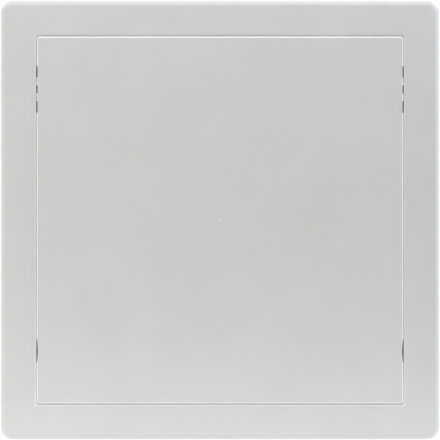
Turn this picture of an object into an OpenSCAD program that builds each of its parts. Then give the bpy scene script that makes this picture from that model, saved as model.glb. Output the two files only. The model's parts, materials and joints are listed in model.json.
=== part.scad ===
// Ceiling access panel: a square flanged frame with a door that drops open on two pivot bolts.
// X runs right, Z up the face, Y into the ceiling void. The plane y = 0 is the ceiling's surface.

/* [Panel] */
// Width and height of the door
door_size = 300; // [280:1:330]
// Gap between door and frame at the left and right
side_gap = 0.6; // [0.5:0.1:1]
// Gap between door and frame at the top and bottom
end_gap = 1.2; // [1:0.1:1.6]
// Width of the flange beside the opening
flange_w = 28.9; // [26:0.1:40]
// How far the face stands out from the ceiling
flange_t = 4.5; // [4.2:0.1:6]
// Radius of the panel's corners
corner_r = 10; // [8:1:16]
// Radius of the rolled outer edge
edge_r = 4.2; // [3:0.1:4.2]
// Wall of the frame moulding
wall = 2.2; // [1.8:0.1:2.6]

/* [Collar] */
// Depth of the collar behind the ceiling's surface
collar_depth = 28; // [28:1:45]
// Radius of the opening's corners
opening_r = 2; // [1.6:0.1:3]
// Radius of the opening's front edge
lip_r = 0.7; // [0.5:0.1:1.2]
// Thickness of the ledge that the door shuts against
ledge_t = 1.8; // [1.2:0.1:2.2]
// Space between the shut door and the ledge
ledge_clear = 0.3; // [0.2:0.05:0.5]
// Width of the turned-in rear lip
rear_lip_w = 3.5; // [2.5:0.5:4]
// Thickness of the rear lip
rear_lip_t = 1.6; // [1.2:0.1:2]
// Width of the flange's rim that bears on the ceiling
rim_w = 2.4; // [1.8:0.1:3]
// Pitch of the ribs behind the flange
flange_rib_pitch = 27; // [20:1:40]
// Thickness of the ribs behind the flange
flange_rib_t = 1.4; // [1:0.1:1.8]
// Diameter of the fixing screw holes
fix_hole_d = 4.5; // [4:0.1:5.5]
// Distance between the two fixing holes of each wall
fix_span = 120; // [100:2:140]

/* [Door] */
// How far the door's face stands out beyond the flange
proud = 0.8; // [0.2:0.1:1]
// Thickness of the door's face
skin_t = 2.5; // [2:0.1:2.8]
// Thickness of the door's edge outside its skirt
edge_t = 1.1; // [1:0.1:1.4]
// Width of the bevel around the door's face
bevel_w = 0.7; // [0.4:0.1:0.9]
// Depth of the bevel around the door's face
bevel_h = 0.9; // [0.5:0.1:1]
// Radius of the door's corners
door_r = 1.6; // [1.4:0.1:2.4]
// Distance from the door's edge to its skirt
skirt_inset = 5; // [5:0.1:6]
// Thickness of the skirt
skirt_t = 2; // [1.6:0.1:2.4]
// Depth of the skirt behind the face
skirt_h = 11; // [10:0.5:13]
// Number of stiffening ribs each way
rib_n = 5; // [3:2:7]
// Thickness of the stiffening ribs
rib_t = 1.6; // [1.2:0.1:2]
// Depth of the stiffening ribs
rib_h = 7; // [5:0.5:9]
// Diameter of the ejector pads where the ribs cross
pad_d = 7; // [5:0.5:9]
// Diameter of the gate mark in the middle of the face
gate_d = 3.4; // [2:0.2:6]
// Depth of the gate mark
gate_dip = 0.15; // [0.1:0.05:0.3]

/* [Pivot bolts] */
// Distance from the door's top edge down to the pivot line
pivot_drop = 42.8; // [40:0.2:56]
// Distance from the face back to the pivot line
pivot_back = 8; // [7.6:0.1:8.4]
// Angle at which the opened door meets its stops
open_angle = 95; // [90:1:100]
// Diameter of the bolt's pivot pin
pin_d = 6; // [5:0.1:6.4]
// Running clearance around the pin
pin_clear = 0.05; // [0.03:0.01:0.1]
// Length of the bearing boss outside the collar
boss_l = 4; // [3:0.5:5]
// Wall of the bearing boss around the pin
boss_wall = 3; // [2.4:0.2:3.4]
// Width of the sliding bolt
bolt_w = 10; // [9:0.5:11]
// Length of the sliding bolt behind its wings
bolt_l = 20; // [18:0.5:24]
// Sliding clearance of the bolt in its channel
slide_clear = 0.3; // [0.25:0.05:0.4]
// Length of the wings across the bolt
wing_l = 38.4; // [36:0.2:39]
// Space between the wings and the opening's wall
wing_clear = 0.3; // [0.3:0.05:0.6]
// Depth of the wings
wing_h = 7; // [6:0.5:8]
// How far the wings' middle is set back around the pin
wing_dip = 2; // [1:0.1:3]
// Width of the thumb tab
tab_w = 7; // [6:0.5:8]
// Height of the thumb tab above the bolt
tab_h = 6.5; // [5:0.5:8]
// Outside diameter of the spring
spring_d = 5; // [4.4:0.1:5.2]
// Wire of the spring
wire_d = 0.6; // [0.5:0.1:0.7]
// Turns of the spring
spring_turns = 7; // [5:1:9]
// Room for the spring between the bolt and the channel's end
spring_room = 18; // [16:0.5:22]
// Thickness of the channel's walls
guide_t = 1.8; // [1.5:0.1:2.2]
// Thickness of the channel's cover
cover_t = 1.6; // [1.2:0.1:2]
// Diameter of the cover screws
cover_screw_d = 2.9; // [2.5:0.1:3.2]

/* [Edge slots] */
// Length of the slots over the wings
wing_slot_l = 9.5; // [8:0.1:11]
// Distance from the pivot line to the middle of a wing slot
wing_slot_at = 14.55; // [14:0.05:16]
// Length of the slot over the pin
pin_slot_l = 6.5; // [5:0.1:8]
// Width of the ledge that passes in front of the pin
pin_sight_w = 0.2; // [0.1:0.05:0.3]
// How deep the slots cut into the door's edge
slot_d = 0.55; // [0.3:0.05:0.9]
// Length of the fingernail notch
notch_l = 21; // [16:0.5:26]
// Depth of the fingernail notch
notch_d = 0.75; // [0.4:0.05:0.9]

/* [Catches] */
// Distance from the door's bottom edge up to the catches
catch_rise = 42.8; // [38:0.2:56]
// Width of the catch clip
clip_w = 20; // [14:0.5:22]
// Thickness of the clip's leaf
clip_t = 1.5; // [1.2:0.1:1.7]
// How far the clip's nose reaches behind the door's bead
catch_grip = 0.9; // [0.6:0.05:0.95]
// Radius of the bead on the door's skirt
bead_r = 2; // [1.7:0.1:2.2]
// Depth of the pocket beside the clip
pocket_d = 2.4; // [2.2:0.1:3]
// Play of the clip's foot under its screw
foot_play = 0.3; // [0.25:0.05:0.4]
// Distance from the collar's rear edge to the clip's screw
foot_inset = 7.5; // [6.5:0.5:8]
// Width of the ledge that passes in front of the clip
sight_w = 0.3; // [0.2:0.05:0.5]
// Diameter of the catch screws
catch_screw_d = 3.5; // [3:0.1:3.9]

/* [Hidden] */
$fn = 48;
// Overlap of shapes that are joined
sink = 0.2;
// Clearance around a screw's shank
screw_clear = 0.05;
// Space kept around what moves
run_clear = 0.5;
door_half = door_size / 2;
open_x = door_half + side_gap;
open_z = door_half + end_gap;
collar_x = open_x + wall;
collar_z = open_z + wall;
frame_half = open_x + flange_w;
face_y = -flange_t;
flange_back = face_y + wall;
door_face = face_y - proud;
edge_back = door_face + edge_t;
skin_back = door_face + skin_t;
skirt_out = door_half - skirt_inset;
skirt_in = skirt_out - skirt_t;
skirt_y = skin_back + skirt_h;
ledge_y = edge_back + ledge_clear;
ledge_in = skirt_out + 1;
fix_y = 14;

pivot_z = door_half - pivot_drop;
pivot_y = door_face + pivot_back;
bearing_out = collar_x + boss_l;
pin_end = bearing_out - 0.9;
bolt_travel = pin_end - open_x + 0.7;
wing_in = skirt_out + 1;
wing_out = open_x - wing_clear;
wing_y = skin_back + run_clear;
dip_half = wing_slot_at - wing_slot_l / 2;
wing_sweep = sqrt(pow(wing_l / 2, 2) + pow(pivot_y - wing_y, 2));
bolt_h = 2 * (pivot_back - skin_t - 1.5);
bolt_in = wing_in - bolt_l;
bolt_back = pivot_y + bolt_h / 2;
bore_l = 6;
spring_from = bolt_in + bore_l - spring_room;
guide_end = wing_in - bolt_travel - 0.6;
guide_z = bolt_w / 2 + slide_clear;
cover_y = bolt_back + slide_clear;
cover_in = spring_from - guide_t - 1;
cover_half = 16;
tab_l = 6;
tab_in = bolt_in + 1;
screw_z = 11.8;
screw_near = cover_in + 6.5;
screw_far = guide_end - 6.5;
lug_y = pivot_y + wing_sweep + run_clear;
stop_reach = pivot_back - edge_t + (collar_depth - pivot_y) * cos(open_angle);
stop_z = pivot_z + stop_reach / sin(open_angle) - 0.3;
side_top = pivot_z - wing_sweep - 1.8;

catch_z = catch_rise - door_half;
pocket_x = open_x + pocket_d;
pocket_half = clip_w / 2 + 3;
clip_out = pocket_x - foot_play;
clip_in = clip_out - clip_t;
foot_y = collar_depth - foot_inset;
tip_y = flange_back + run_clear;
nose_x = skirt_out + bead_r - catch_grip;
nose_back = tip_y + 2.6;
tip_out = door_half;
bead_y = nose_back + bead_r + 0.2;
notch_r = notch_l * notch_l / (8 * notch_d) + notch_d / 2;

white = [0.86, 0.86, 0.85];
grey = [0.16, 0.17, 0.18];
steel = [0.72, 0.73, 0.75];

// A flat shape drawn in X and Z, from y0 back to y1
module slab(y0, y1) {
    translate([0, y1, 0])
        rotate([90, 0, 0])
            linear_extrude(height = y1 - y0)
                children();
}

// A block given by its two corners
module block(a, b) {
    translate(a)
        cube(b - a);
}

module both_sides() {
    children();
    mirror([1, 0, 0])
        children();
}

module rounded(w, h, r) {
    square([w - 2 * r, h], center = true);
    square([w, h - 2 * r], center = true);
    for (x = [-1, 1], z = [-1, 1])
        translate([x * (w / 2 - r), z * (h / 2 - r)])
            circle(r);
}

// Carries an edge profile around a rectangle of half sizes a and b with corner radius r
module around(a, b, r) {
    for (s = [0, 1]) {
        mirror([s, 0, 0])
            translate([a, 0, r - b])
                linear_extrude(height = 2 * (b - r))
                    children();
        mirror([0, 0, s])
            rotate([0, -90, 0])
                translate([b, 0, r - a])
                    linear_extrude(height = 2 * (a - r))
                        children();
        for (t = [0, 1])
            mirror([s, 0, 0])
                mirror([0, 0, t])
                    translate([a - r, 0, b - r])
                        rotate([-90, 0, 0])
                            rotate([0, 0, -90])
                                rotate_extrude(angle = 90)
                                    translate([r, 0])
                                        children();
    }
}

// What is cut away to round the flange's front edges
module outer_edge(r) {
    difference() {
        translate([-r, face_y - 1])
            square([r + 1, r + 1]);
        translate([-r, face_y + r])
            circle(r);
    }
}

module inner_edge(r) {
    difference() {
        translate([-1, face_y - 1])
            square([r + 1, r + 1]);
        translate([r, face_y + r])
            circle(r);
    }
}

module flange_shell() {
    difference() {
        slab(face_y, 0)
            rounded(2 * frame_half, 2 * frame_half, corner_r);
        slab(face_y - 1, 1)
            rounded(2 * open_x, 2 * open_z, opening_r);
        slab(flange_back, 1)
            difference() {
                rounded(2 * (frame_half - rim_w), 2 * (frame_half - rim_w), corner_r - rim_w);
                rounded(2 * collar_x, 2 * collar_z, opening_r + wall);
            }
        around(frame_half, frame_half, corner_r)
            outer_edge(edge_r);
        around(open_x, open_z, opening_r)
            inner_edge(lip_r);
    }
}

module flange_ribs() {
    count = floor((open_x - 8) / flange_rib_pitch);
    for (i = [-count:count], s = [0, 1]) {
        at = i * flange_rib_pitch;
        mirror([s, 0, 0])
            block([collar_x - sink, flange_back - sink, at - flange_rib_t / 2],
                [frame_half - rim_w + sink, -0.3, at + flange_rib_t / 2]);
        mirror([0, 0, s])
            block([at - flange_rib_t / 2, flange_back - sink, collar_z - sink],
                [at + flange_rib_t / 2, -0.3, frame_half - rim_w + sink]);
    }
}

module collar() {
    slab(flange_back - sink, collar_depth)
        difference() {
            rounded(2 * collar_x, 2 * collar_z, opening_r + wall);
            rounded(2 * open_x, 2 * open_z, opening_r);
        }
}

// The door shuts against this at the bottom and up both sides to just below the bolts
module ledge() {
    slab(ledge_y, ledge_y + ledge_t) {
        both_sides()
            difference() {
                translate([ledge_in, -open_z])
                    square([open_x + sink - ledge_in, open_z + side_top]);
                translate([ledge_in - 1, catch_z - pocket_half])
                    square([open_x - ledge_in + 2, 2 * pocket_half]);
            }
        translate([-open_x, -open_z - sink])
            square([2 * open_x, open_z + sink - ledge_in]);
    }
    slab(ledge_y, flange_back)
        both_sides() {
            translate([open_x - sight_w, catch_z - pocket_half - sink])
                square([sight_w + sink, 2 * (pocket_half + sink)]);
            translate([open_x - pin_sight_w, pivot_z - pin_slot_l / 2 - 1])
                square([pin_sight_w + sink, pin_slot_l + 2]);
        }
}

module gusset() {
    translate([0, 0, -0.8])
        linear_extrude(height = 1.6)
            polygon([[sink, ledge_y + ledge_t - sink], [-3.6, ledge_y + ledge_t - sink],
                [sink, ledge_y + 7]]);
}

module ledge_gussets() {
    for (at = [-75, -25, 25, 70])
        both_sides()
            translate([open_x, 0, at])
                gusset();
    for (at = [-125, -75, -25, 25, 75, 125])
        translate([at, 0, -open_z])
            rotate([0, 90, 0])
                gusset();
}

module rear_lip() {
    slab(collar_depth - rear_lip_t, collar_depth) {
        both_sides()
            difference() {
                translate([open_x - rear_lip_w, -open_z])
                    square([rear_lip_w + sink, open_z + side_top]);
                translate([open_x - rear_lip_w - 1, catch_z - pocket_half])
                    square([rear_lip_w + 2, 2 * pocket_half]);
            }
        translate([-open_x, -open_z - sink])
            square([2 * open_x, rear_lip_w + sink]);
    }
}

// Small ribs that centre the collar in the ceiling's cut-out
module locating_ribs() {
    for (at = [-90, -30, 30, 90], s = [0, 1])
        mirror([0, 0, s])
            translate([at, 2, collar_z - 0.4])
                rotate([-90, 0, 0])
                    cylinder(r = 1.2, h = 22);
    for (at = [-36, 0, 36])
        both_sides()
            translate([collar_x - 0.4, 2, at])
                rotate([-90, 0, 0])
                    cylinder(r = 1.2, h = 22);
}

module fixing_holes() {
    for (at = [-fix_span / 2, fix_span / 2], s = [0, 1]) {
        mirror([s, 0, 0])
            translate([open_x - 1, fix_y, at])
                rotate([0, 90, 0])
                    cylinder(d = fix_hole_d, h = wall + 3);
        mirror([0, 0, s])
            translate([at, fix_y, open_z - 1])
                cylinder(d = fix_hole_d, h = wall + 3);
    }
}

module frame() {
    color(white)
        difference() {
            union() {
                flange_shell();
                flange_ribs();
                collar();
                ledge();
                ledge_gussets();
                rear_lip();
                locating_ribs();
                both_sides() {
                    translate([collar_x - sink, pivot_y, pivot_z])
                        rotate([0, 90, 0])
                            cylinder(d = pin_d + 2 * boss_wall, h = boss_l + sink);
                    block([collar_x - sink, flange_back - sink, catch_z - pocket_half - wall],
                        [pocket_x + wall, collar_depth, catch_z + pocket_half + wall]);
                    translate([pocket_x + wall - sink, foot_y, catch_z])
                        rotate([0, 90, 0])
                            cylinder(d = 9, h = 3.5 + sink);
                    block([open_x - 3.2, lug_y, stop_z - 8], [open_x + sink, collar_depth, stop_z]);
                }
            }
            both_sides() {
                translate([open_x - 1, pivot_y, pivot_z])
                    rotate([0, 90, 0])
                        cylinder(d = pin_d + 2 * pin_clear, h = wall + boss_l + 2);
                block([open_x - sink, flange_back, catch_z - pocket_half],
                    [pocket_x, collar_depth + 1, catch_z + pocket_half]);
                translate([pocket_x - 1, foot_y, catch_z])
                    rotate([0, 90, 0])
                        cylinder(d = catch_screw_d + 2 * screw_clear, h = wall + 5.5);
            }
            fixing_holes();
        }
}

module door_ribs() {
    pitch = 2 * skirt_in / (rib_n + 1);
    span = 2 * (skirt_in + sink);
    difference() {
        slab(skin_back - sink, skin_back + rib_h)
            for (i = [1:rib_n]) {
                at = i * pitch - skirt_in;
                translate([at, 0])
                    square([rib_t, span], center = true);
                translate([0, at])
                    square([span, rib_t], center = true);
                for (k = [1:rib_n])
                    translate([at, k * pitch - skirt_in])
                        circle(d = pad_d);
            }
        both_sides()
            block([cover_in - 2, skin_back - 1, pivot_z - wing_l / 2 - 2],
                [door_half, skirt_y + 1, pivot_z + wing_l / 2 + 2]);
    }
}

// The channel on the door's back in which a bolt slides
module bolt_channel() {
    from = spring_from - guide_t;
    difference() {
        union() {
            block([from, skin_back - sink, pivot_z - guide_z - guide_t],
                [guide_end, cover_y, pivot_z + guide_z + guide_t]);
            for (p = screw_points())
                translate([p[0], skin_back - sink, p[1]])
                    rotate([-90, 0, 0])
                        cylinder(d = cover_screw_d + 4.2, h = cover_y - skin_back + sink);
        }
        block([spring_from, pivot_y - bolt_h / 2 - slide_clear, pivot_z - guide_z],
            [guide_end + 1, cover_y + 1, pivot_z + guide_z]);
        for (p = screw_points())
            translate([p[0], skin_back + 1.4, p[1]])
                rotate([-90, 0, 0])
                    cylinder(d = cover_screw_d + 2 * screw_clear, h = cover_y - skin_back);
    }
    translate([spring_from - sink, pivot_y, pivot_z])
        rotate([0, 90, 0])
            cylinder(d = spring_d - 2 * wire_d - 0.8, h = 4 + sink);
}

function screw_points() = [[screw_near, pivot_z + screw_z], [screw_far, pivot_z - screw_z]];

module catch_bead() {
    half = clip_w / 2 - bead_r;
    translate([skirt_out, bead_y, catch_z - half])
        cylinder(r = bead_r, h = 2 * half);
    for (z = [-half, half])
        translate([skirt_out, bead_y, catch_z + z])
            sphere(bead_r);
}

module edge_slots() {
    slab(door_face - 1, skin_back + sink) {
        for (at = [-wing_slot_at, wing_slot_at])
            translate([door_half - slot_d, pivot_z + at - wing_slot_l / 2])
                square([slot_d + 1, wing_slot_l]);
        translate([door_half - slot_d, pivot_z - pin_slot_l / 2])
            square([slot_d + 1, pin_slot_l]);
        translate([door_half - notch_d + notch_r, catch_z])
            circle(notch_r, $fn = 96);
    }
}

module door_leaf() {
    gate_r = (gate_d * gate_d / 4 + gate_dip * gate_dip) / (2 * gate_dip);
    color(white)
        difference() {
            union() {
                slab(door_face, edge_back)
                    rounded(door_size, door_size, door_r);
                slab(edge_back - sink, skin_back)
                    rounded(2 * skirt_out, 2 * skirt_out, 3);
                difference() {
                    union() {
                        slab(skin_back - sink, skirt_y)
                            difference() {
                                rounded(2 * skirt_out, 2 * skirt_out, 3);
                                rounded(2 * skirt_in, 2 * skirt_in, 1);
                            }
                        both_sides()
                            intersection() {
                                catch_bead();
                                block([skirt_in + sink, skin_back, catch_z - clip_w],
                                    [door_half, skirt_y, catch_z + clip_w]);
                            }
                    }
                    both_sides()
                        block([skirt_in - 1, skin_back, pivot_z - wing_l / 2 - 0.9],
                            [skirt_out + 1, skirt_y + 1, pivot_z + wing_l / 2 + 0.9]);
                }
                door_ribs();
                both_sides()
                    bolt_channel();
            }
            around(door_half, door_half, door_r)
                translate([0, door_face])
                    polygon([[-bevel_w, 0], [-bevel_w, -1], [1, -1], [1, bevel_h], [0, bevel_h]]);
            both_sides()
                edge_slots();
            translate([0, door_face + gate_dip - gate_r, 0])
                sphere(gate_r);
        }
}

module pivot_bolt() {
    color(grey)
        difference() {
            union() {
                block([bolt_in, pivot_y - bolt_h / 2, pivot_z - bolt_w / 2],
                    [wing_in + sink, bolt_back, pivot_z + bolt_w / 2]);
                difference() {
                    block([wing_in, wing_y, pivot_z - wing_l / 2],
                        [wing_out, wing_y + wing_h, pivot_z + wing_l / 2]);
                    block([wing_out - wing_dip, wing_y - 1, pivot_z - dip_half],
                        [wing_out + 1, wing_y + wing_h + 1, pivot_z + dip_half]);
                }
                translate([wing_out - wing_dip - sink, pivot_y, pivot_z])
                    rotate([0, 90, 0])
                        cylinder(d = pin_d, h = pin_end - wing_out + wing_dip - 1 + sink);
                translate([pin_end - 1, pivot_y, pivot_z])
                    rotate([0, 90, 0])
                        cylinder(d1 = pin_d, d2 = pin_d - 1.6, h = 1);
                block([tab_in, bolt_back - sink, pivot_z - tab_w / 2],
                    [tab_in + tab_l, bolt_back + tab_h, pivot_z + tab_w / 2]);
            }
            translate([bolt_in - 1, pivot_y, pivot_z])
                rotate([0, 90, 0])
                    cylinder(d = spring_d + 0.6, h = bore_l + 1);
            for (x = [1.5, 3, 4.5])
                translate([tab_in + x, bolt_back + tab_h + 0.1, pivot_z - tab_w])
                    cylinder(r = 0.5, h = 2 * tab_w);
        }
}

function wrap(i, n) = i - n * floor(i / n);

// How far along the spring the wire has come after some turns, with one closed turn at each end
function wound(turn, reach) =
    let (shut = 1.2 * wire_d, last = spring_turns - 1)
    turn < 1 ? shut * turn
    : turn > last ? reach - shut * (spring_turns - turn)
    : shut + (reach - 2 * shut) * (turn - 1) / (last - 1);

// A coil of round wire along X with its two ends a little clear of their seats
module bolt_spring() {
    steps = 18 * spring_turns;
    around_n = 8;
    coil = (spring_d - wire_d) / 2;
    from = spring_from + 0.2 + wire_d / 2;
    reach = spring_room - 0.4 - wire_d;
    points = [for (i = [0:steps], j = [0:around_n - 1])
        let (turn = 360 * spring_turns * i / steps,
            tube = 360 * j / around_n,
            r = coil + wire_d / 2 * cos(tube))
        [from + wound(spring_turns * i / steps, reach) + wire_d / 2 * sin(tube),
            pivot_y + r * cos(turn),
            pivot_z + r * sin(turn)]];
    sides = [for (i = [0:steps - 1], j = [0:around_n - 1])
        let (k = wrap(j + 1, around_n))
        [i * around_n + j, i * around_n + k, (i + 1) * around_n + k, (i + 1) * around_n + j]];
    first = [for (j = [0:around_n - 1]) around_n - 1 - j];
    last = [for (j = [0:around_n - 1]) steps * around_n + j];
    color(steel)
        polyhedron(points = points, faces = concat([first], sides, [last]));
}

module bolt_cover() {
    color(grey)
        slab(cover_y, cover_y + cover_t)
            difference() {
                translate([(cover_in + guide_end) / 2, pivot_z])
                    rounded(guide_end - cover_in, 2 * cover_half, 2);
                translate([tab_in - bolt_travel - 0.3, pivot_z - tab_w / 2 - 0.4])
                    square([tab_l + bolt_travel + 0.6, tab_w + 0.8]);
                for (p = screw_points())
                    translate(p)
                        circle(d = cover_screw_d + 0.4);
            }
}

// A pan-head screw that points down, its head standing on z = 0
module pan_screw(d, reach) {
    color(steel)
        difference() {
            union() {
                cylinder(d = 1.9 * d, h = 0.4 * d);
                translate([0, 0, 0.4 * d])
                    cylinder(d1 = 1.9 * d, d2 = 1.3 * d, h = 0.22 * d);
                translate([0, 0, 1 - reach])
                    cylinder(d = d, h = reach - 1 + sink);
                translate([0, 0, -reach])
                    cylinder(d1 = 0.4 * d, d2 = d, h = 1);
            }
            for (a = [0, 90])
                rotate([0, 0, a])
                    translate([-0.55 * d, -0.11 * d, 0.28 * d])
                        cube([1.1 * d, 0.22 * d, d]);
        }
}

module cover_screw(which) {
    p = screw_points()[which];
    translate([p[0], cover_y + cover_t, p[1]])
        rotate([-90, 0, 0])
            pan_screw(cover_screw_d, cover_y + cover_t - skin_back - 2);
}

module catch_clip() {
    bend = foot_y - 4.5;
    color(grey)
        difference() {
            translate([0, 0, catch_z - clip_w / 2])
                linear_extrude(height = clip_w)
                    polygon([[clip_out, foot_y + 4.5], [clip_out, bend], [tip_out, tip_y + 2],
                        [tip_out, tip_y], [nose_x + 1.1, tip_y], [nose_x, tip_y + 1.4], [nose_x, nose_back],
                        [tip_out - clip_t, nose_back + 1.8], [clip_in, bend], [clip_in, foot_y + 4.5]]);
            translate([clip_in - 1, foot_y, catch_z])
                rotate([0, 90, 0])
                    cylinder(d = catch_screw_d + 2 * foot_play + 0.1, h = clip_t + 2);
        }
}

module catch_screw() {
    translate([clip_in - foot_play, foot_y, catch_z])
        rotate([0, -90, 0])
            pan_screw(catch_screw_d, pocket_x + wall + 3 - clip_in);
}

module left_hand() {
    mirror([1, 0, 0])
        children();
}

frame();
door_leaf();
left_hand() pivot_bolt();  // pivot_bolt_left
pivot_bolt();  // pivot_bolt_right
left_hand() bolt_spring();  // bolt_spring_left
bolt_spring();  // bolt_spring_right
left_hand() bolt_cover();  // bolt_cover_left
bolt_cover();  // bolt_cover_right
left_hand() cover_screw(0);  // cover_screw_left_upper
left_hand() cover_screw(1);  // cover_screw_left_lower
cover_screw(0);  // cover_screw_right_upper
cover_screw(1);  // cover_screw_right_lower
left_hand() catch_clip();  // catch_clip_left
catch_clip();  // catch_clip_right
left_hand() catch_screw();  // catch_screw_left
catch_screw();  // catch_screw_right
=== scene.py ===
import json
import math

import bpy
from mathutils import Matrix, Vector

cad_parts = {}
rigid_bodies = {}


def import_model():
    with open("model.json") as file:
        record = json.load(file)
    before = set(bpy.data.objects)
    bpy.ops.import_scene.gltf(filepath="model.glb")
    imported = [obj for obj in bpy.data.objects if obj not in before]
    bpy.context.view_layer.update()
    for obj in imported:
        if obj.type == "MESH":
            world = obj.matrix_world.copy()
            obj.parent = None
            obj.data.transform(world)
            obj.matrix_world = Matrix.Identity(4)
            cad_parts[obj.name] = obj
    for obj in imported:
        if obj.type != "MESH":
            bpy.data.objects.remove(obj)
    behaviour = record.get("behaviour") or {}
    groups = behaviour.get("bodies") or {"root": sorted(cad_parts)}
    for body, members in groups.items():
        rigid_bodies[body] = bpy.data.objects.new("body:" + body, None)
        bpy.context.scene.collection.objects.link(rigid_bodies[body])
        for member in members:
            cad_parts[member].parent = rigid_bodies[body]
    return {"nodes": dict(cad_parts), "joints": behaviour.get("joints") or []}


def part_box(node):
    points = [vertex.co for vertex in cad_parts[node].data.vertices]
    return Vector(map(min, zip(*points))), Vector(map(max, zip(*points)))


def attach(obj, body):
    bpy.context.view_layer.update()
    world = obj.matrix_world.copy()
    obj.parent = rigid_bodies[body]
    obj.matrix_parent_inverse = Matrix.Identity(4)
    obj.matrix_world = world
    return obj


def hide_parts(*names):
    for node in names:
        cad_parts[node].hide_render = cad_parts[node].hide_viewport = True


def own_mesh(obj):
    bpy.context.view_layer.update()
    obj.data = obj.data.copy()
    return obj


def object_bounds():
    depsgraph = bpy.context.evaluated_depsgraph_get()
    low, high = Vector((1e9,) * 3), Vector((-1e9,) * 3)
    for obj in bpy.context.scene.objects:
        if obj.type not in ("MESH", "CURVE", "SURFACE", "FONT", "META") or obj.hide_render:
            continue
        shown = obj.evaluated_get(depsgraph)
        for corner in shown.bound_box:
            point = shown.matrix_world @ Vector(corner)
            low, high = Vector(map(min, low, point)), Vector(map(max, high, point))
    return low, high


bpy.ops.object.select_all(action="SELECT")
bpy.ops.object.delete()
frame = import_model()
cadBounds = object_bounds()
nodes = frame["nodes"]
print("panel loaded:", len(nodes), "solids")


class Wire:  # a socket that can be added up, or a bare tree when it has no socket
    def __init__(self, tree, socket=None):
        self.tree = tree
        self.socket = socket

    def node(self, kind, settings=None, sockets=None, out=0):
        made = self.tree.nodes.new(kind)
        for name, value in (settings or {}).items():
            setattr(made, name, value)
        for name, value in (sockets or {}).items():
            if isinstance(value, Wire):
                self.tree.links.new(value.socket, made.inputs[name])
            else:
                made.inputs[name].default_value = value
        return Wire(self.tree, made.outputs[out]) if made.outputs else None

    def math(self, operation, a, b):
        return self.node("ShaderNodeMath", {"operation": operation}, {0: a, 1: b})

    def __add__(self, other):
        return self.math("ADD", self, other)

    def __radd__(self, other):
        return self.math("ADD", other, self)

    def __sub__(self, other):
        return self.math("SUBTRACT", self, other)

    def __rsub__(self, other):
        return self.math("SUBTRACT", other, self)

    def __mul__(self, other):
        return self.math("MULTIPLY", self, other)

    def __rmul__(self, other):
        return self.math("MULTIPLY", other, self)


def newTree(owner):
    owner.use_nodes = True
    owner.node_tree.nodes.clear()
    return Wire(owner.node_tree)


def startFinish(name):
    material = bpy.data.materials.new(name)
    tree = newTree(material)
    return material, tree, tree.node("ShaderNodeTexCoord", {}, {}, "Object")


def endFinish(tree, sockets):
    shader = tree.node("ShaderNodeBsdfPrincipled", {}, sockets)
    tree.node("ShaderNodeOutputMaterial", {}, {"Surface": shader})


def noise(tree, place, scale, detail, roughness):
    sockets = {"Vector": place, "Scale": scale, "Detail": detail, "Roughness": roughness}
    return tree.node("ShaderNodeTexNoise", {}, sockets, "Fac")


def mixColour(tree, factor, first, second):  # the mix node has its colours at 6 and 7
    sockets = {0: factor, 6: first, 7: second}
    return tree.node("ShaderNodeMix", {"data_type": "RGBA"}, sockets, 2)


def band(tree, value, low, high):  # eases from 0 at low to 1 at high
    sockets = {"Value": value, "From Min": low, "From Max": high}
    return tree.node("ShaderNodeMapRange", {"interpolation_type": "SMOOTHSTEP"}, sockets)


def parts(tree, vector, names):
    return [tree.node("ShaderNodeSeparateXYZ", {}, {"Vector": vector}, name) for name in names]


def stretch(tree, place, by):
    return tree.node("ShaderNodeVectorMath", {"operation": "MULTIPLY"}, {0: place, 1: by})


def bump(tree, height, depth, under=None):
    sockets = {"Strength": 1.0, "Distance": depth, "Height": height}
    if under is not None:
        sockets["Normal"] = under
    return tree.node("ShaderNodeBump", {}, sockets)


noiseMean = 0.5

# satin white moulding compound of the frame and the door; a noise is scale, detail, roughness
whiteFinish = {
    "colour": (0.690, 0.690, 0.690, 1.0),
    "shade": (0.672, 0.672, 0.671, 1.0),
    "gate": (0.735, 0.735, 0.735, 1.0),
    # paler tone of the painted highlight along the door's rim and the opening's lip
    "paintedHighlightTone": (0.860, 0.860, 0.860, 1.0),
    "highlightLeast": 0.75,
    "highlightSpread": 0.5,
    "gateRadius": 0.0019,
    "gateCore": 0.6,
    "mottle": (19.0, 3.0, 0.5),
    "mottleBand": (0.35, 0.7),
    "grain": (3600.0, 3.0, 0.6),
    "grainDepth": 0.000010,
    "ripple": (130.0, 1.0, 0.5),
    "rippleDepth": 0.000020,
    "roughness": 0.40,
    "roughnessSpread": 0.10,
    "grainShare": 0.6,
    "mottleShare": 0.4,
    "ior": 1.49,
}

# where edges get a painted highlight, a paler colour standing in for the light they catch: the
# door's rim, and the lip around the opening except along its top; half is half the width and
# height, the other pairs go from no painted highlight to full
rimHighlight = {
    "half": (0.1500, 0.1500),
    "reach": (-0.0010, -0.0006),
    "sideDepth": (0.0, -0.001),
    "endDepth": (0.0, -0.001),
    "below": (0.200, 0.190),
}
lipHighlight = {
    "half": (0.1506, 0.1512),
    "reach": (0.0014, 0.0009),
    "sideDepth": (-0.0028, -0.0042),
    "endDepth": (-0.0039, -0.0042),
    "below": (0.1505, 0.1490),
}


# mask of the painted highlight along the door's rim or the opening's lip
def paintedEdgeHighlight(tree, place, highlightZone):
    across = tree.node("ShaderNodeVectorMath", {"operation": "ABSOLUTE"}, {0: place})
    x, z = parts(tree, across, "XZ")
    depth, height = parts(tree, place, "YZ")
    reach = tree.math("MAXIMUM", x - highlightZone["half"][0], z - highlightZone["half"][1])
    sides, ends = [band(tree, depth, *highlightZone[name]) for name in ("sideDepth", "endDepth")]
    deep = ends + tree.math("GREATER_THAN", x, z) * (sides - ends)
    return deep * band(tree, reach, *highlightZone["reach"]) * band(tree, height, *highlightZone["below"])


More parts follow.
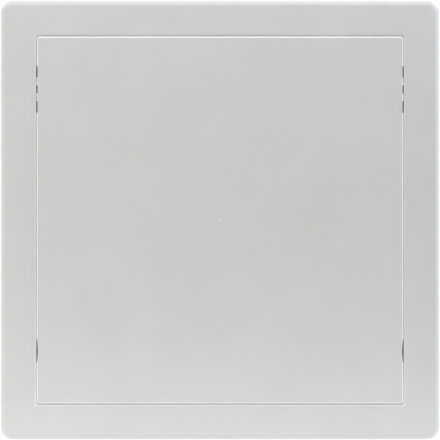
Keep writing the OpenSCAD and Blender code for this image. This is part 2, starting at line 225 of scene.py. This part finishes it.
def makeWhitePlastic(name, finish, highlightZone, withGate):
    material, tree, place = startFinish(name)
    kinds = ("mottle", "grain", "ripple")
    mottle, grain, ripple = [noise(tree, place, *finish[kind]) for kind in kinds]
    shaded = band(tree, mottle, *finish["mottleBand"])
    colour = mixColour(tree, shaded, finish["colour"], finish["shade"])
    if withGate:  # the sprue's pale witness in the middle of the face
        flat = stretch(tree, place, (1.0, 0.0, 1.0))
        away = tree.node("ShaderNodeVectorMath", {"operation": "LENGTH"}, {0: flat}, "Value")
        radius = finish["gateRadius"]
        spot = 1.0 - band(tree, away, finish["gateCore"] * radius, radius)
        colour = mixColour(tree, spot, colour, finish["gate"])
    # painted highlight along the edges, made uneven by the mottle
    highlightStrength = finish["highlightLeast"] + finish["highlightSpread"] * mottle
    paintedHighlight = paintedEdgeHighlight(tree, place, highlightZone) * highlightStrength
    colour = mixColour(tree, paintedHighlight, colour, finish["paintedHighlightTone"])
    patchy = finish["grainShare"] * grain + finish["mottleShare"] * mottle - noiseMean
    roughness = finish["roughness"] + finish["roughnessSpread"] * patchy
    wavy = bump(tree, ripple, finish["rippleDepth"])
    normal = bump(tree, grain, finish["grainDepth"], wavy)
    endFinish(tree, {
        "Base Color": colour, "Roughness": roughness, "Normal": normal, "IOR": finish["ior"]})
    return material


# dark acetal of the sliding bolts, their covers and the catches
acetalFinish = {
    "colour": (0.034, 0.036, 0.038, 1.0),
    "shade": (0.046, 0.048, 0.050, 1.0),
    "scuffed": (0.072, 0.075, 0.079, 1.0),
    "flow": (210.0, 4.0, 0.5),
    "flowBand": (0.3, 0.7),
    "grain": (5200.0, 2.0, 0.5),
    "grainDepth": 0.000012,
    "scuff": (520.0, 4.0, 0.6),
    "scuffBand": (0.54, 0.72),
    "scuffRoughness": 0.14,
    "roughness": 0.42,
    "roughnessSpread": 0.16,
    "ior": 1.48,
}


def makeAcetal(name, finish, rubWay):
    material, tree, place = startFinish(name)
    flow, grain = [noise(tree, place, *finish[kind]) for kind in ("flow", "grain")]
    shaded = band(tree, flow, *finish["flowBand"])
    colour = mixColour(tree, shaded, finish["colour"], finish["shade"])
    streaks = noise(tree, stretch(tree, place, rubWay), *finish["scuff"])
    scuff = band(tree, streaks, *finish["scuffBand"])
    colour = mixColour(tree, scuff, colour, finish["scuffed"])
    roughness = finish["roughness"] + finish["roughnessSpread"] * (flow - noiseMean)
    roughness = roughness + finish["scuffRoughness"] * scuff
    normal = bump(tree, grain, finish["grainDepth"])
    endFinish(tree, {
        "Base Color": colour, "Roughness": roughness, "Normal": normal, "IOR": finish["ior"]})
    return material


# bright zinc on the screws, darker drawn wire in the springs
zincFinish = {
    "colour": (0.62, 0.63, 0.65, 1.0),
    "shade": (0.50, 0.51, 0.53, 1.0),
    "cloud": (900.0, 3.0, 0.5),
    "cloudBand": (0.35, 0.7),
    "scratch": (4200.0, 2.0, 0.5),
    "scratchDepth": 0.000006,
    "roughness": 0.30,
    "roughnessSpread": 0.22,
}
wireFinish = {
    "colour": (0.48, 0.48, 0.49, 1.0),
    "shade": (0.36, 0.36, 0.37, 1.0),
    "cloud": (1400.0, 3.0, 0.5),
    "cloudBand": (0.35, 0.7),
    "scratch": (6000.0, 2.0, 0.5),
    "scratchDepth": 0.000004,
    "roughness": 0.26,
    "roughnessSpread": 0.16,
}


def makeSteel(name, finish):
    material, tree, place = startFinish(name)
    cloud, scratch = [noise(tree, place, *finish[kind]) for kind in ("cloud", "scratch")]
    shaded = band(tree, cloud, *finish["cloudBand"])
    colour = mixColour(tree, shaded, finish["colour"], finish["shade"])
    roughness = finish["roughness"] + finish["roughnessSpread"] * (cloud - noiseMean)
    normal = bump(tree, scratch, finish["scratchDepth"])
    endFinish(tree, {
        "Base Color": colour, "Roughness": roughness, "Normal": normal, "Metallic": 1.0})
    return material


frameWhite = makeWhitePlastic("frameWhite", whiteFinish, lipHighlight, False)
doorWhite = makeWhitePlastic("doorWhite", whiteFinish, rimHighlight, True)
# the bolts are scuffed the way they slide, the clips the way the door's bead passes
boltAcetal = makeAcetal("boltAcetal", acetalFinish, (0.2, 1.0, 1.0))
clipAcetal = makeAcetal("clipAcetal", acetalFinish, (1.0, 0.2, 1.0))
zincSteel = makeSteel("zincSteel", zincFinish)
drawnWire = makeSteel("drawnWire", wireFinish)

finishOf = {"grey_plastic": boltAcetal, "steel": zincSteel}
for name, solid in nodes.items():
    for slot in solid.material_slots:
        slotName = slot.material.name.split(".")[0]
        if slotName == "white_plastic":
            slot.material = doorWhite if name == "door_leaf" else frameWhite
        else:
            slot.material = finishOf[slotName]
print("finishes made")


mm = 0.001
weldGap = 0.002 * mm
bevelAngle = math.radians(35.0)
smoothAngle = math.radians(38.0)
square = 0.9  # a face counts as an end when its normal lies this far along the axis


def pick(piece):
    bpy.ops.object.select_all(action="DESELECT")
    piece.select_set(True)
    bpy.context.view_layer.objects.active = piece


def settle(piece):  # puts the place, turn and size into the mesh
    pick(piece)
    bpy.ops.object.transform_apply(location=True, rotation=True, scale=True)


def modify(piece, kind, **settings):
    pick(piece)
    modifier = piece.modifiers.new(kind.title(), kind)
    for name, value in settings.items():
        setattr(modifier, name, value)
    bpy.ops.object.modifier_apply(modifier=modifier.name)


def combine(piece, other, operation):
    modify(piece, "BOOLEAN", operation=operation, object=other, solver="EXACT")
    bpy.data.objects.remove(other)


def soften(piece, width, segments=3):
    modify(piece, "BEVEL", width=width, segments=segments, limit_method="ANGLE",
           angle_limit=bevelAngle)


def enterEdit():
    bpy.ops.object.mode_set(mode="EDIT")


def leaveEdit():
    bpy.ops.object.mode_set(mode="OBJECT")


def chooseNone(piece, kind):
    pick(piece)
    enterEdit()
    bpy.ops.mesh.select_mode(type=kind)
    bpy.ops.mesh.select_all(action="DESELECT")
    leaveEdit()


def editFaces(piece, choose):
    chooseNone(piece, "FACE")
    for face in piece.data.polygons:
        face.select = choose(face.center, face.normal)
    enterEdit()


def editEdges(piece, choose):
    chooseNone(piece, "EDGE")
    for edge in piece.data.edges:
        edge.select = choose(edge)
    enterEdit()


def pull(move, size=(1.0, 1.0, 1.0), centre=(0.0, 0.0, 0.0)):  # draws out the chosen face
    bpy.ops.mesh.extrude_region_move(TRANSFORM_OT_translate={"value": move})
    bpy.ops.transform.resize(value=size, center_override=centre)


def cleanMesh(piece):
    pick(piece)
    enterEdit()
    bpy.ops.mesh.select_all(action="SELECT")
    bpy.ops.mesh.remove_doubles(threshold=weldGap)
    bpy.ops.mesh.normals_make_consistent(inside=False)
    leaveEdit()


def addBlock(low, high):
    low, high = Vector(low), Vector(high)
    bpy.ops.mesh.primitive_cube_add(size=1.0, location=(low + high) / 2, scale=high - low)
    settle(bpy.context.object)
    return bpy.context.object


def addRod(start, end, radius, sides=40):
    start, end = Vector(start), Vector(end)
    along = end - start
    turn = along.to_track_quat("Z", "Y").to_euler()
    bpy.ops.mesh.primitive_cylinder_add(vertices=sides, radius=radius, depth=along.length,
                                        location=(start + end) / 2, rotation=turn)
    settle(bpy.context.object)
    return bpy.context.object


def copyPiece(piece):
    pick(piece)
    bpy.ops.object.duplicate(linked=False)
    return bpy.context.object


def otherHand(piece):
    other = copyPiece(piece)
    other.scale.x = -1.0
    settle(other)
    cleanMesh(other)
    return other


def stand(piece, node, body, finish):  # dresses a piece and lets it stand for its solid
    piece.name = node + "_dressed"
    piece.data.name = piece.name
    piece.data.materials.clear()
    piece.data.materials.append(finish)
    pick(piece)
    bpy.ops.object.shade_smooth_by_angle(angle=smoothAngle)
    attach(piece, body)
    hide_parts(node)


pivot = Vector(frame["joints"][0]["pos_m"])

# pan-head screw, sizes as parts of the shank's diameter
screwShape = {
    "rings": ((0.34, 1.0), (0.46, 0.95), (0.55, 0.83), (0.60, 0.66), (0.62, 0.45)),
    "headWidth": 1.9,
    "headHeight": 0.62,
    "sides": 40,
    "barLength": 1.06,
    "barWidth": 0.25,
    "barFloor": 0.20,
    "barTaper": (0.5, 0.6, 1.0),
    "core": 0.37,
    "crest": 0.495,
    "crestSpan": (0.42, 0.58),
    "pitch": 0.36,
    "spareTurns": 3,
    "steps": 24,
    "neck": 0.1,
    "tip": 0.42,
    "point": 0.12,
}
threadSeam = 0.001 * mm
threadCut = 0.0001 * mm
tipMargin = 0.01 * mm


def makeHead(spec, diameter):
    radius = spec["headWidth"] * diameter / 2
    bpy.ops.mesh.primitive_circle_add(vertices=spec["sides"], radius=radius, fill_type="NGON")
    head = bpy.context.object
    enterEdit()
    bpy.ops.mesh.select_all(action="SELECT")
    height, width = 0.0, 1.0
    for ringHeight, ringWidth in spec["rings"]:
        grow = ringWidth / width
        pull((0.0, 0.0, (ringHeight - height) * diameter), (grow, grow, 1.0))
        height, width = ringHeight, ringWidth
    leaveEdit()
    cleanMesh(head)
    half = spec["barLength"] * diameter / 2
    side = spec["barWidth"] * diameter / 2
    floor = spec["barFloor"] * diameter
    for turn in (0.0, math.pi / 2):  # cross recess, narrower at its floor
        bar = addBlock((-half, -side, floor), (half, side, diameter))
        editFaces(bar, lambda centre, normal: normal.z < -square)
        bpy.ops.transform.resize(value=spec["barTaper"], center_override=(0.0, 0.0, 0.0))
        leaveEdit()
        bar.rotation_euler.z = turn
        settle(bar)
        combine(head, bar, "DIFFERENCE")
    return head


def makeThread(spec, diameter, reach):
    bpy.ops.mesh.primitive_circle_add(vertices=4, radius=diameter, fill_type="NOTHING")
    thread = bpy.context.object
    pitch = spec["pitch"] * diameter
    core, crest = spec["core"] * diameter, spec["crest"] * diameter
    start = -reach - pitch
    rise, fall = spec["crestSpan"]
    profile = ((core, 0.0), (crest, rise), (crest, fall), (core, 1.0))
    for corner, (radius, height) in zip(thread.data.vertices, profile):
        corner.co = (radius, 0.0, start + height * pitch)
    editEdges(thread, lambda edge: set(edge.vertices) == {0, 3})
    bpy.ops.mesh.delete(type="EDGE")
    leaveEdit()
    turns = math.ceil(reach / pitch) + spec["spareTurns"]
    modify(thread, "SCREW", axis="Z", angle=2 * math.pi, screw_offset=pitch, iterations=turns,
           steps=spec["steps"], render_steps=spec["steps"], use_merge_vertices=True,
           merge_threshold=threadSeam)
    cleanMesh(thread)
    tipLength = spec["tip"] * diameter
    tipTop = tipLength - reach
    enterEdit()
    for level, way in ((spec["neck"] * diameter, 1.0), (tipTop, -1.0)):
        bpy.ops.mesh.select_all(action="SELECT")
        bpy.ops.mesh.bisect(plane_co=(0.0, 0.0, level), plane_no=(0.0, 0.0, way),
                            use_fill=True, clear_outer=True, threshold=threadCut)
    leaveEdit()
    editFaces(thread, lambda centre, normal: normal.z < -square and centre.z < tipTop + tipMargin)
    pull((0.0, 0.0, -tipLength), (spec["point"], spec["point"], 1.0))
    leaveEdit()
    cleanMesh(thread)
    return thread


def makeScrew(spec, diameter, reach):
    screw = makeHead(spec, diameter)
    combine(screw, makeThread(spec, diameter, reach), "UNION")
    return screw


def placeScrews(spec, names, body, way):  # way is where the right-hand heads look
    axis = max(range(3), key=lambda i: abs(way[i]))
    first = None
    for name in names:
        low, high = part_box(name)
        size = high - low
        mirrored = axis == 0 and "left" in name
        sign = -way[axis] if mirrored else way[axis]
        diameter = size[(axis + 1) % 3] / spec["headWidth"]
        headHeight = spec["headHeight"] * diameter
        if first is None:
            first = makeScrew(spec, diameter, size[axis] - headHeight)
        screw = copyPiece(first)
        headEnd = high[axis] if sign > 0 else low[axis]
        place = (low + high) / 2
        place[axis] = headEnd - sign * headHeight
        out = Vector((0.0, 0.0, 0.0))
        out[axis] = sign
        screw.location = place
        screw.rotation_euler = out.to_track_quat("Z", "Y").to_euler()
        settle(screw)
        stand(screw, name, body, zincSteel)
    bpy.data.objects.remove(first)


corners = ("left_upper", "left_lower", "right_upper", "right_lower")
coverScrews = ["cover_screw_" + corner for corner in corners]
placeScrews(screwShape, coverScrews, "door", (0.0, 1.0, 0.0))
placeScrews(screwShape, ["catch_screw_left", "catch_screw_right"], "frame", (-1.0, 0.0, 0.0))
print("screws made")

# compression spring with a closed turn at each end
springShape = {
    "wire": 0.6 * mm,
    "shut": 0.72 * mm,
    "turns": 7,
    "wireSides": 12,
    "steps": 36,
    "travel": 6.0 * mm,
}


def makeCoil(spec, radius, start, rise, turns):
    bpy.ops.mesh.primitive_circle_add(
        vertices=spec["wireSides"], radius=spec["wire"] / 2, fill_type="NOTHING",
        location=(radius, 0.0, start), rotation=(math.pi / 2, 0.0, 0.0))
    coil = bpy.context.object
    settle(coil)
    modify(coil, "SCREW", axis="Z", angle=2 * math.pi, screw_offset=rise, iterations=turns,
           steps=spec["steps"], render_steps=spec["steps"], use_merge_vertices=False)
    return coil


def makeSpring(spec, low, high):
    wire, shut, openTurns = spec["wire"], spec["shut"], spec["turns"] - 2
    radius = (high.z - low.z - wire) / 2
    length = high.x - low.x - wire
    rise = (length - 2 * shut) / openTurns
    coils = [
        makeCoil(spec, radius, 0.0, shut, 1),
        makeCoil(spec, radius, shut, rise, openTurns),
        makeCoil(spec, radius, length - shut, shut, 1),
    ]
    spring = coils[0]
    pick(spring)
    for coil in coils:
        coil.select_set(True)
    bpy.ops.object.join()
    enterEdit()
    bpy.ops.mesh.select_all(action="SELECT")
    bpy.ops.mesh.remove_doubles(threshold=weldGap)
    bpy.ops.mesh.fill_holes(sides=0)
    leaveEdit()
    cleanMesh(spring)
    spring.location = (low.x + wire / 2, (low.y + high.y) / 2, (low.z + high.z) / 2)
    spring.rotation_euler = (0.0, math.pi / 2, 0.0)
    settle(spring)
    return spring


for side, inner in (("left", 1), ("right", 0)):
    springName = "bolt_spring_" + side
    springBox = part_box(springName)
    spring = makeSpring(springShape, springBox[0], springBox[1])
    stand(spring, springName, "door", drawnWire)
    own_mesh(spring)
print("springs wound")

# sliding bolt: body, wings, pin and ribbed thumb tab
boltShape = {
    "bodyLength": 20.0 * mm,
    "bodyWidth": 10.0 * mm,
    "bodyDepth": 8.0 * mm,
    "wingThickness": 4.3 * mm,
    "wingDepth": 7.0 * mm,
    "dipHalf": 9.8 * mm,
    "dipDepth": 2.0 * mm,
    "pinRadius": 3.0 * mm,
    "pinChamfer": 1.0 * mm,
    "pinPoint": 0.73,
    "boreRadius": 2.8 * mm,
    "boreDepth": 6.0 * mm,
    "tabStart": 1.0 * mm,
    "tabLength": 6.0 * mm,
    "tabWidth": 7.0 * mm,
    "grooves": (1.5 * mm, 3.0 * mm, 4.5 * mm),
    "grooveRadius": 0.5 * mm,
    "grooveLift": 0.1 * mm,
    "grooveSides": 20,
    "soft": 0.35 * mm,
    "wingSoft": 0.8 * mm,
    "wingSteps": 4,
    "overlap": 0.2 * mm,
}


def makeBolt(spec, low, high):
    lap = spec["overlap"]
    wingIn = low.x + spec["bodyLength"]
    wingOut = wingIn + spec["wingThickness"]
    wingBack = low.y + spec["wingDepth"]
    back = pivot.y + spec["bodyDepth"] / 2
    halfWidth = spec["bodyWidth"] / 2
    bolt = addBlock((low.x, pivot.y - spec["bodyDepth"] / 2, pivot.z - halfWidth),
                    (wingIn + lap, back, pivot.z + halfWidth))
    soften(bolt, spec["soft"])
    wings = addBlock((wingIn, low.y, low.z), (wingOut, wingBack, high.z))
    soften(wings, spec["wingSoft"], spec["wingSteps"])
    dipFloor = wingOut - spec["dipDepth"]
    dip = addBlock((dipFloor, low.y - mm, pivot.z - spec["dipHalf"]),
                   (wingOut + mm, wingBack + mm, pivot.z + spec["dipHalf"]))
    combine(wings, dip, "DIFFERENCE")
    combine(bolt, wings, "UNION")
    shoulder = Vector((high.x - spec["pinChamfer"], pivot.y, pivot.z))
    pin = addRod((dipFloor - lap, pivot.y, pivot.z), shoulder, spec["pinRadius"])
    editFaces(pin, lambda centre, normal: normal.x > square)
    pull((spec["pinChamfer"], 0.0, 0.0), (1.0, spec["pinPoint"], spec["pinPoint"]), shoulder)
    leaveEdit()
    combine(bolt, pin, "UNION")
    tabIn = low.x + spec["tabStart"]
    across = spec["tabWidth"]
    tab = addBlock((tabIn, back - lap, pivot.z - across / 2),
                   (tabIn + spec["tabLength"], high.y, pivot.z + across / 2))
    for place in spec["grooves"]:
        x, y = tabIn + place, high.y + spec["grooveLift"]
        groove = addRod((x, y, pivot.z - across), (x, y, pivot.z + across),
                        spec["grooveRadius"], spec["grooveSides"])
        combine(tab, groove, "DIFFERENCE")
    combine(bolt, tab, "UNION")
    boreEnd = low.x + spec["boreDepth"]
    bore = addRod((low.x - mm, pivot.y, pivot.z), (boreEnd, pivot.y, pivot.z), spec["boreRadius"])
    combine(bolt, bore, "DIFFERENCE")
    cleanMesh(bolt)
    return bolt


rightBolt = makeBolt(boltShape, *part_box("pivot_bolt_right"))
leftBolt = otherHand(rightBolt)
stand(rightBolt, "pivot_bolt_right", "bolt_right", boltAcetal)
stand(leftBolt, "pivot_bolt_left", "bolt_left", boltAcetal)
print("bolts made")

# cover plate over the bolt's channel
coverShape = {
    "cornerRadius": 2.0 * mm,
    "cornerSteps": 6,
    "holeRadius": 1.65 * mm,
    "slotStart": 9.5 * mm,
    "slotEnd": 22.1 * mm,
    "slotHalf": 3.9 * mm,
    "soft": 0.25 * mm,
    "softSteps": 2,
}


def makeCover(spec, low, high, screws):
    cover = addBlock(low, high)

    def through(edge):  # one of the four edges that run through the plate
        first, second = [cover.data.vertices[i].co.y for i in edge.vertices]
        return abs(first - second) > (high.y - low.y) / 2

    editEdges(cover, through)
    bpy.ops.mesh.bevel(offset=spec["cornerRadius"], segments=spec["cornerSteps"], affect="EDGES")
    leaveEdit()
    front, back = low.y - mm, high.y + mm
    middle = (low.z + high.z) / 2
    slot = addBlock((low.x + spec["slotStart"], front, middle - spec["slotHalf"]),
                    (low.x + spec["slotEnd"], back, middle + spec["slotHalf"]))
    combine(cover, slot, "DIFFERENCE")
    for name in screws:
        screwLow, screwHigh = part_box(name)
        x, z = (screwLow.x + screwHigh.x) / 2, (screwLow.z + screwHigh.z) / 2
        hole = addRod((x, front, z), (x, back, z), spec["holeRadius"])
        combine(cover, hole, "DIFFERENCE")
    cleanMesh(cover)
    soften(cover, spec["soft"], spec["softSteps"])
    return cover


rightCover = makeCover(coverShape, *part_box("bolt_cover_right"), coverScrews[2:])
leftCover = otherHand(rightCover)
stand(rightCover, "bolt_cover_right", "door", boltAcetal)
stand(leftCover, "bolt_cover_left", "door", boltAcetal)
print("covers made")

# springy clip: a foot under its screw, a leaning leaf and a nose behind the door's bead
clipShape = {
    "leaf": 1.5 * mm,
    "footLength": 9.0 * mm,
    "lean": 2.8 * mm,
    "tipLength": 3.2 * mm,
    "noseDrop": 0.4 * mm,
    "noseEnd": 0.38,
    "holeRadius": 2.1 * mm,
    "soft": 0.3 * mm,
}


def makeClip(spec, low, high, screwAt):
    leafIn = high.x - spec["leaf"]
    footEnd = high.y - spec["footLength"]
    tipTop = low.y + spec["tipLength"]
    clip = addBlock((leafIn, footEnd, low.z), (high.x, high.y, high.z))
    editFaces(clip, lambda centre, normal: normal.y < -square)
    pull((-spec["lean"], tipTop - footEnd, 0.0))
    pull((0.0, low.y - tipTop, 0.0))
    leaveEdit()
    tipIn = leafIn - spec["lean"]
    editFaces(clip, lambda centre, normal: normal.x < -square and centre.y < tipTop)
    nose = (low.x, (low.y + tipTop) / 2, (low.z + high.z) / 2)
    pull((low.x - tipIn, 0.0, 0.0), (1.0, spec["noseEnd"], 1.0), nose)
    bpy.ops.transform.translate(value=(0.0, spec["noseDrop"], 0.0))
    leaveEdit()
    hole = addRod((leafIn - mm, screwAt.y, screwAt.z), (high.x + mm, screwAt.y, screwAt.z),
                  spec["holeRadius"])
    combine(clip, hole, "DIFFERENCE")
    cleanMesh(clip)
    soften(clip, spec["soft"])
    return clip


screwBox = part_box("catch_screw_right")
rightClip = makeClip(clipShape, *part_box("catch_clip_right"), (screwBox[0] + screwBox[1]) / 2)
leftClip = otherHand(rightClip)
stand(rightClip, "catch_clip_right", "catch_right", clipAcetal)
stand(leftClip, "catch_clip_left", "catch_left", clipAcetal)
print("catches made")


# the panel hangs over a white table, in a tent that is bright around its sides and behind it
studio = {
    "floorGap": 0.12,
    "floorSize": 2.4,
    "floorColour": (0.80, 0.80, 0.80, 1.0),
    "tentColour": (1.0, 1.0, 1.0, 1.0),
    "ringPlace": -0.17,
    "ringSpread": 0.50,
    "ringSides": 3.06,
    "ringRight": 0.56,
    "ringEnds": -0.76,
    "tentBehind": 2.0,
    "cards": {  # place, aim, width, height, watts
        "lowCard": ((-0.14, -0.082, -0.22), (-0.14, 0.0, -0.06), 0.90, 0.07, 0.170),
        "leftCard": ((-0.40, -0.26, 0.07), (-0.12, 0.0, 0.07), 0.24, 0.60, 0.280),
        "topCard": ((0.13, -0.23, 0.40), (0.13, 0.0, 0.11), 0.90, 0.24, 0.70),
    },
}


def makeFloor(spec, lowest):
    place = (0.0, 0.0, lowest - spec["floorGap"])
    bpy.ops.mesh.primitive_plane_add(size=spec["floorSize"], location=place)
    floor = bpy.context.object
    floor.name = "table"
    material = bpy.data.materials.new("tableWhite")
    tree = newTree(material)
    diffuse = tree.node("ShaderNodeBsdfDiffuse", {}, {"Color": spec["floorColour"]})
    clear = tree.node("ShaderNodeBsdfTransparent")
    under = tree.node("ShaderNodeNewGeometry", {}, {}, "Backfacing")
    seen = under * tree.node("ShaderNodeLightPath", {}, {}, "Is Camera Ray")
    # a look from below goes through
    mixed = tree.node("ShaderNodeMixShader", {}, {0: seen, 1: diffuse, 2: clear})
    tree.node("ShaderNodeOutputMaterial", {}, {"Surface": mixed})
    floor.data.materials.append(material)


def makeTent(spec):
    world = bpy.data.worlds.new("tent")
    bpy.context.scene.world = world
    tree = newTree(world)
    way = tree.node("ShaderNodeTexCoord", {}, {}, "Generated")
    x, y, z = parts(tree, way, "XYZ")
    off = (y - spec["ringPlace"]) * (1.0 / spec["ringSpread"])
    ring = tree.math("MAXIMUM", 1.0 - off * off, 0.0)
    level = spec["ringSides"] + spec["ringRight"] * x + spec["ringEnds"] * z * z
    behind = tree.math("MAXIMUM", y, 0.0)
    strength = level * ring * ring + spec["tentBehind"] * behind * behind * behind
    light, plain = [
        tree.node("ShaderNodeBackground", {}, {"Color": spec["tentColour"], "Strength": power})
        for power in (strength, 1.0)]
    rays = ("Is Camera Ray", "Is Glossy Ray", "Is Transmission Ray")
    first, second, third = [tree.node("ShaderNodeLightPath", {}, {}, ray) for ray in rays]
    seen = tree.math("MAXIMUM", first, tree.math("MAXIMUM", second, third))
    mixed = tree.node("ShaderNodeMixShader", {}, {0: seen, 1: light, 2: plain})
    tree.node("ShaderNodeOutputWorld", {}, {"Surface": mixed})


def makeCards(spec):
    for name, (place, aim, width, height, watts) in spec["cards"].items():
        turn = (Vector(aim) - Vector(place)).to_track_quat("-Z", "Y").to_euler()
        bpy.ops.object.light_add(type="AREA", location=place, rotation=turn)
        card = bpy.context.object
        card.name = name
        card.data.shape = "RECTANGLE"
        card.data.size = width
        card.data.size_y = height
        card.data.energy = watts
        card.visible_camera = False


makeFloor(studio, cadBounds[0].z)
makeCards(studio)
makeTent(studio)

# square on to the face, from far enough away that the gap's walls hardly show
shot = {
    "distance": 5.0,
    "faceWidth": 0.3590,
    "facePixels": 438.3,
    "framePixels": 440.0,
    "sensor": 36.0,
}


def makeCamera(spec):
    place = (0.0, -spec["distance"], 0.0)
    bpy.ops.object.camera_add(location=place, rotation=(math.pi / 2, 0.0, 0.0))
    camera = bpy.context.object
    camera.name = "faceOn"
    view = spec["faceWidth"] * spec["framePixels"] / spec["facePixels"]
    reach = spec["distance"] + cadBounds[0].y
    camera.data.sensor_width = spec["sensor"]
    camera.data.lens = spec["sensor"] * reach / view
    camera.data.dof.use_dof = False
    bpy.context.scene.camera = camera


makeCamera(shot)
bpy.context.scene.view_settings.view_transform = "Standard"
print("studio and camera set")

bpy.context.view_layer.update()
